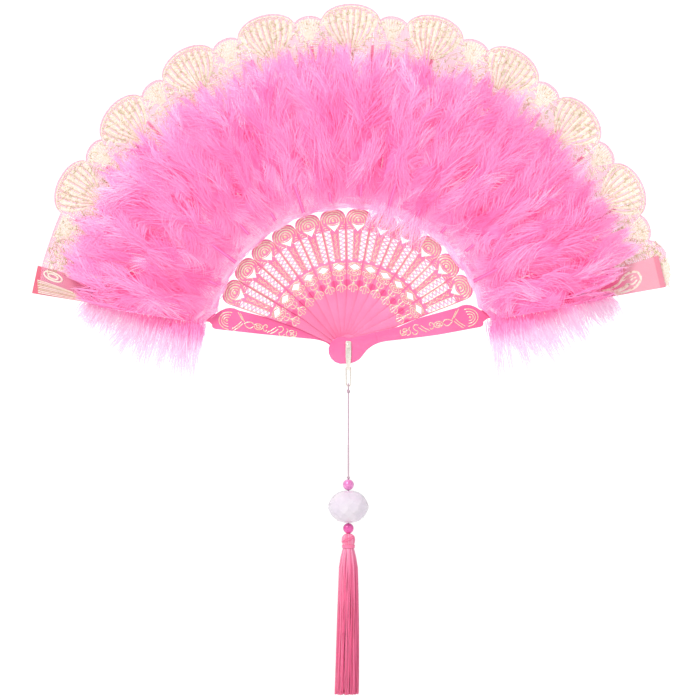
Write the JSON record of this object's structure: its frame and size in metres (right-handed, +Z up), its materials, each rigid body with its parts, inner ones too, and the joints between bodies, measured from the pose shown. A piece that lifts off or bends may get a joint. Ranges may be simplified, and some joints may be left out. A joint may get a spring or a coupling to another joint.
{
  "type": "folding feather fan",
  "caption": "Folding hand fan with pierced sticks, a pleated lace leaf, feather tufts along the front and a beaded tassel hanging from its rivet.",
  "frame": {"origin": "on the rivet's axis, half way through the stack of sticks", "axes": "+Z up between the two guards of the open fan, +X to the right seen from the front, -Y towards the front, where the feathers are"},
  "size_m": [0.4335, 0.0507, 0.47],
  "materials": {
    "stick_plastic": "translucent pink plastic with gold foil on its relief",
    "guard_plastic": "glossy deep pink plastic with gold foil on its relief",
    "lace": "sheer pink net embroidered with cream and gold shells",
    "marabou": "dyed marabou down, hot pink and paler at the tips",
    "nickel": "bright nickel plate",
    "silk_thread": "dull pink twisted thread",
    "pearl": "pearly orchid pink bead",
    "crystal": "cut clear crystal with a lilac tint",
    "rayon": "glossy rose pink rayon strands"
  },
  "bodies": {
    "rear_guard": {"guard_rear": "guard_plastic", "rivet": "nickel", "rivet_washer": "nickel", "feathers_guard_rear": "marabou", "leaf_01": "lace"},
    "stick_01": {"stick_01": "stick_plastic", "feathers_01": "marabou", "leaf_02": "lace"},
    "stick_02": {"stick_02": "stick_plastic", "feathers_02": "marabou", "leaf_03": "lace"},
    "stick_03": {"stick_03": "stick_plastic", "feathers_03": "marabou", "leaf_04": "lace"},
    "stick_04": {"stick_04": "stick_plastic", "feathers_04": "marabou", "leaf_05": "lace"},
    "stick_05": {"stick_05": "stick_plastic", "feathers_05": "marabou", "leaf_06": "lace"},
    "stick_06": {"stick_06": "stick_plastic", "feathers_06": "marabou", "leaf_07": "lace"},
    "stick_07": {"stick_07": "stick_plastic", "feathers_07": "marabou", "leaf_08": "lace"},
    "stick_08": {"stick_08": "stick_plastic", "feathers_08": "marabou", "leaf_09": "lace"},
    "stick_09": {"stick_09": "stick_plastic", "feathers_09": "marabou", "leaf_10": "lace"},
    "stick_10": {"stick_10": "stick_plastic", "feathers_10": "marabou", "leaf_11": "lace"},
    "stick_11": {"stick_11": "stick_plastic", "feathers_11": "marabou", "leaf_12": "lace"},
    "stick_12": {"stick_12": "stick_plastic", "feathers_12": "marabou", "leaf_13": "lace"},
    "front_guard": {"guard_front": "guard_plastic", "feathers_guard_front": "marabou"},
    "bail": {"bail": "nickel"},
    "link": {"pendant_link": "nickel"},
    "pendant": {"thread_loop": "silk_thread", "loop_knot": "silk_thread", "thread": "silk_thread", "bead_knot": "silk_thread", "bead_upper": "pearl", "crystal_bead": "crystal", "bead_lower": "pearl", "tassel_head": "rayon", "tassel_band": "rayon", "tassel_skirt": "rayon"}
  },
  "joints": [
    {"name": "fold_01", "type": "hinge", "parent": "rear_guard", "child": "stick_01", "pos_m": [0, 0, 0], "axis": [0, -1, 0], "range_deg": [0, 12.9], "deforming": ["leaf_01", "feathers_01", "feathers_guard_rear"]},
    {"name": "fold_02", "type": "hinge", "parent": "stick_01", "child": "stick_02", "pos_m": [0, 0, 0], "axis": [0, -1, 0], "range_deg": [0, 11.64], "deforming": ["leaf_02", "feathers_02"]},
    {"name": "fold_03", "type": "hinge", "parent": "stick_02", "child": "stick_03", "pos_m": [0, 0, 0], "axis": [0, -1, 0], "range_deg": [0, 11.64], "deforming": ["leaf_03", "feathers_03"]},
    {"name": "fold_04", "type": "hinge", "parent": "stick_03", "child": "stick_04", "pos_m": [0, 0, 0], "axis": [0, -1, 0], "range_deg": [0, 11.64], "deforming": ["leaf_04", "feathers_04"]},
    {"name": "fold_05", "type": "hinge", "parent": "stick_04", "child": "stick_05", "pos_m": [0, 0, 0], "axis": [0, -1, 0], "range_deg": [0, 11.64], "deforming": ["leaf_05", "feathers_05"]},
    {"name": "fold_06", "type": "hinge", "parent": "stick_05", "child": "stick_06", "pos_m": [0, 0, 0], "axis": [0, -1, 0], "range_deg": [0, 11.64], "deforming": ["leaf_06", "feathers_06"]},
    {"name": "fold_07", "type": "hinge", "parent": "stick_06", "child": "stick_07", "pos_m": [0, 0, 0], "axis": [0, -1, 0], "range_deg": [0, 11.64], "deforming": ["leaf_07", "feathers_07"]},
    {"name": "fold_08", "type": "hinge", "parent": "stick_07", "child": "stick_08", "pos_m": [0, 0, 0], "axis": [0, -1, 0], "range_deg": [0, 11.64], "deforming": ["leaf_08", "feathers_08"]},
    {"name": "fold_09", "type": "hinge", "parent": "stick_08", "child": "stick_09", "pos_m": [0, 0, 0], "axis": [0, -1, 0], "range_deg": [0, 11.64], "deforming": ["leaf_09", "feathers_09"]},
    {"name": "fold_10", "type": "hinge", "parent": "stick_09", "child": "stick_10", "pos_m": [0, 0, 0], "axis": [0, -1, 0], "range_deg": [0, 11.64], "deforming": ["leaf_10", "feathers_10"]},
    {"name": "fold_11", "type": "hinge", "parent": "stick_10", "child": "stick_11", "pos_m": [0, 0, 0], "axis": [0, -1, 0], "range_deg": [0, 11.64], "deforming": ["leaf_11", "feathers_11"]},
    {"name": "fold_12", "type": "hinge", "parent": "stick_11", "child": "stick_12", "pos_m": [0, 0, 0], "axis": [0, -1, 0], "range_deg": [0, 11.64], "deforming": ["leaf_12", "feathers_12"]},
    {"name": "fold_13", "type": "hinge", "parent": "stick_12", "child": "front_guard", "pos_m": [0, 0, 0], "axis": [0, -1, 0], "range_deg": [0, 13.9], "deforming": ["leaf_13", "feathers_guard_front"]},
    {"name": "bail_swing", "type": "hinge", "parent": "rear_guard", "child": "bail", "pos_m": [0, 0, 0], "axis": [0, -1, 0], "range_deg": [-60, 60]},
    {"name": "link_swing", "type": "hinge", "parent": "bail", "child": "link", "pos_m": [0, 0, -0.016], "axis": [0, -1, 0], "range_deg": [-30, 30]},
    {"name": "pendant_swing", "type": "hinge", "parent": "link", "child": "pendant", "pos_m": [0, 0, -0.0276], "axis": [1, 0, 0], "range_deg": [-60, 60]}
  ],
  "couplings": [
    {"joint": "fold_02", "follows": "fold_01", "ratio": 0.9023},
    {"joint": "fold_03", "follows": "fold_01", "ratio": 0.9023},
    {"joint": "fold_04", "follows": "fold_01", "ratio": 0.9023},
    {"joint": "fold_05", "follows": "fold_01", "ratio": 0.9023},
    {"joint": "fold_06", "follows": "fold_01", "ratio": 0.9023},
    {"joint": "fold_07", "follows": "fold_01", "ratio": 0.9023},
    {"joint": "fold_08", "follows": "fold_01", "ratio": 0.9023},
    {"joint": "fold_09", "follows": "fold_01", "ratio": 0.9023},
    {"joint": "fold_10", "follows": "fold_01", "ratio": 0.9023},
    {"joint": "fold_11", "follows": "fold_01", "ratio": 0.9023},
    {"joint": "fold_12", "follows": "fold_01", "ratio": 0.9023},
    {"joint": "fold_13", "follows": "fold_01", "ratio": 1.0775}
  ]
}
